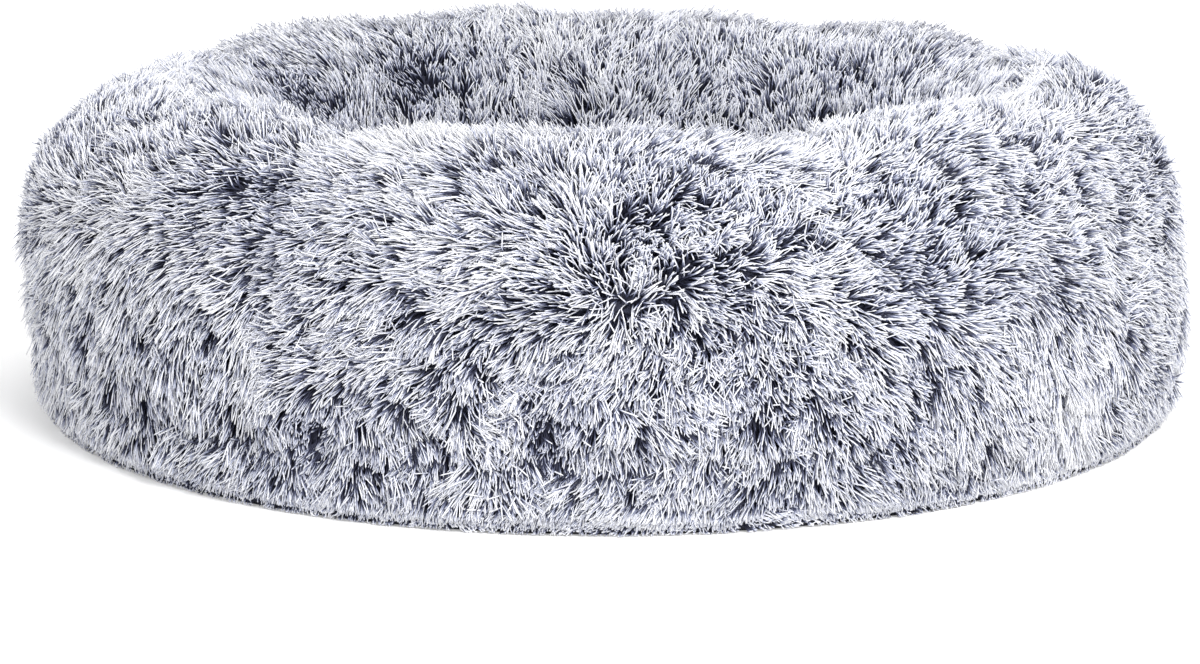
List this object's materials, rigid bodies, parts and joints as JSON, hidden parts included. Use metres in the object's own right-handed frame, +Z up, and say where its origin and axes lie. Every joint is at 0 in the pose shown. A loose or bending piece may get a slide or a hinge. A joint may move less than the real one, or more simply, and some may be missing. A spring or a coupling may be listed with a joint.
{
  "type": "dog bed",
  "caption": "Round donut dog bed in long shaggy faux fur: a fat bolster round a sunken cushion, with a zipped removable cover over fibre-filled pads.",
  "frame": {"origin": "on the floor, at the middle of the base", "axes": "+Z up; -Y towards the side seen in the picture; the zipper closes at the rear left"},
  "size_m": [0.7605, 0.759, 0.2173],
  "materials": {
    "fur": "matte",
    "base_fabric": "matte",
    "band": "matte",
    "tape": "matte",
    "coil": "satin",
    "metal": "satin",
    "label": "satin",
    "liner": "matte",
    "fill": "matte"
  },
  "bodies": {
    "bed": {"bolster_fur_panel_front": "fur", "bolster_fur_panel_right": "fur", "bolster_fur_panel_rear": "fur", "bolster_fur_panel_left": "fur", "cushion_fur_panel": "fur", "base_panel": "base_fabric", "base_rim_band": "band", "care_label": "label", "bolster_liner_upper": "liner", "bolster_liner_lower": "liner", "bolster_fill": "fill", "cushion_liner_top": "liner", "cushion_liner_bottom": "liner", "cushion_fill": "fill", "zipper_tape_lower": "tape", "zipper_tape_upper": "tape", "zipper_coil_lower": "coil", "zipper_coil_upper": "coil", "zipper_top_stop_lower": "metal", "zipper_top_stop_upper": "metal", "zipper_bottom_stop": "metal"},
    "slider": {"zipper_slider": "metal"},
    "pull": {"zipper_pull": "metal"}
  },
  "joints": [
    {"name": "slider_travel", "type": "hinge", "parent": "bed", "child": "slider", "pos_m": [0, 0, 0.0234], "axis": [0, 0, 1], "range_deg": [-113, 0]},
    {"name": "pull_swing", "type": "hinge", "parent": "slider", "child": "pull", "pos_m": [-0.31212, 0.18709, 0.0234], "axis": [0, 0, 1], "range_deg": [0, 160]}
  ]
}
